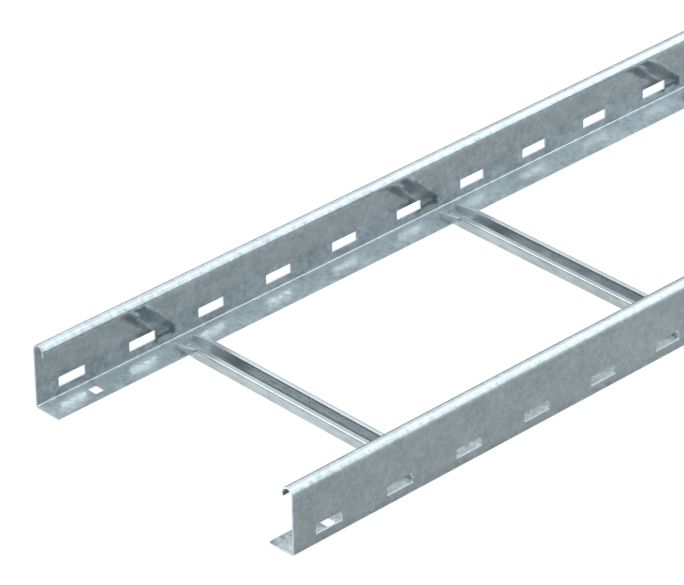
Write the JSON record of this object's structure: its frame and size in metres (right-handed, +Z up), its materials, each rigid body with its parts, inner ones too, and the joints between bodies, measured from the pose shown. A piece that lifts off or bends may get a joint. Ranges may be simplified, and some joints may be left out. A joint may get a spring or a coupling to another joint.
{
  "type": "cable ladder section",
  "caption": "Straight galvanised steel cable ladder length: slotted side rails with an inward foot and a rolled top edge, joined by lipped channel rungs.",
  "frame": {"origin": "middle of the ladder's underside, on the plane that the flanges rest on", "axes": "+X along the ladder, +Y across it towards the left side rail, +Z up"},
  "size_m": [3, 0.3, 0.06],
  "materials": {
    "galvanised_steel": "strip galvanised, semi-gloss, pale blue-grey with a cloudy zinc spangle"
  },
  "bodies": {
    "root": {"right_side_rail": "galvanised_steel", "left_side_rail": "galvanised_steel", "rung_01": "galvanised_steel", "rung_02": "galvanised_steel", "rung_03": "galvanised_steel", "rung_04": "galvanised_steel", "rung_05": "galvanised_steel", "rung_06": "galvanised_steel", "rung_07": "galvanised_steel", "rung_08": "galvanised_steel", "rung_09": "galvanised_steel", "rung_10": "galvanised_steel"}
  },
  "joints": []
}
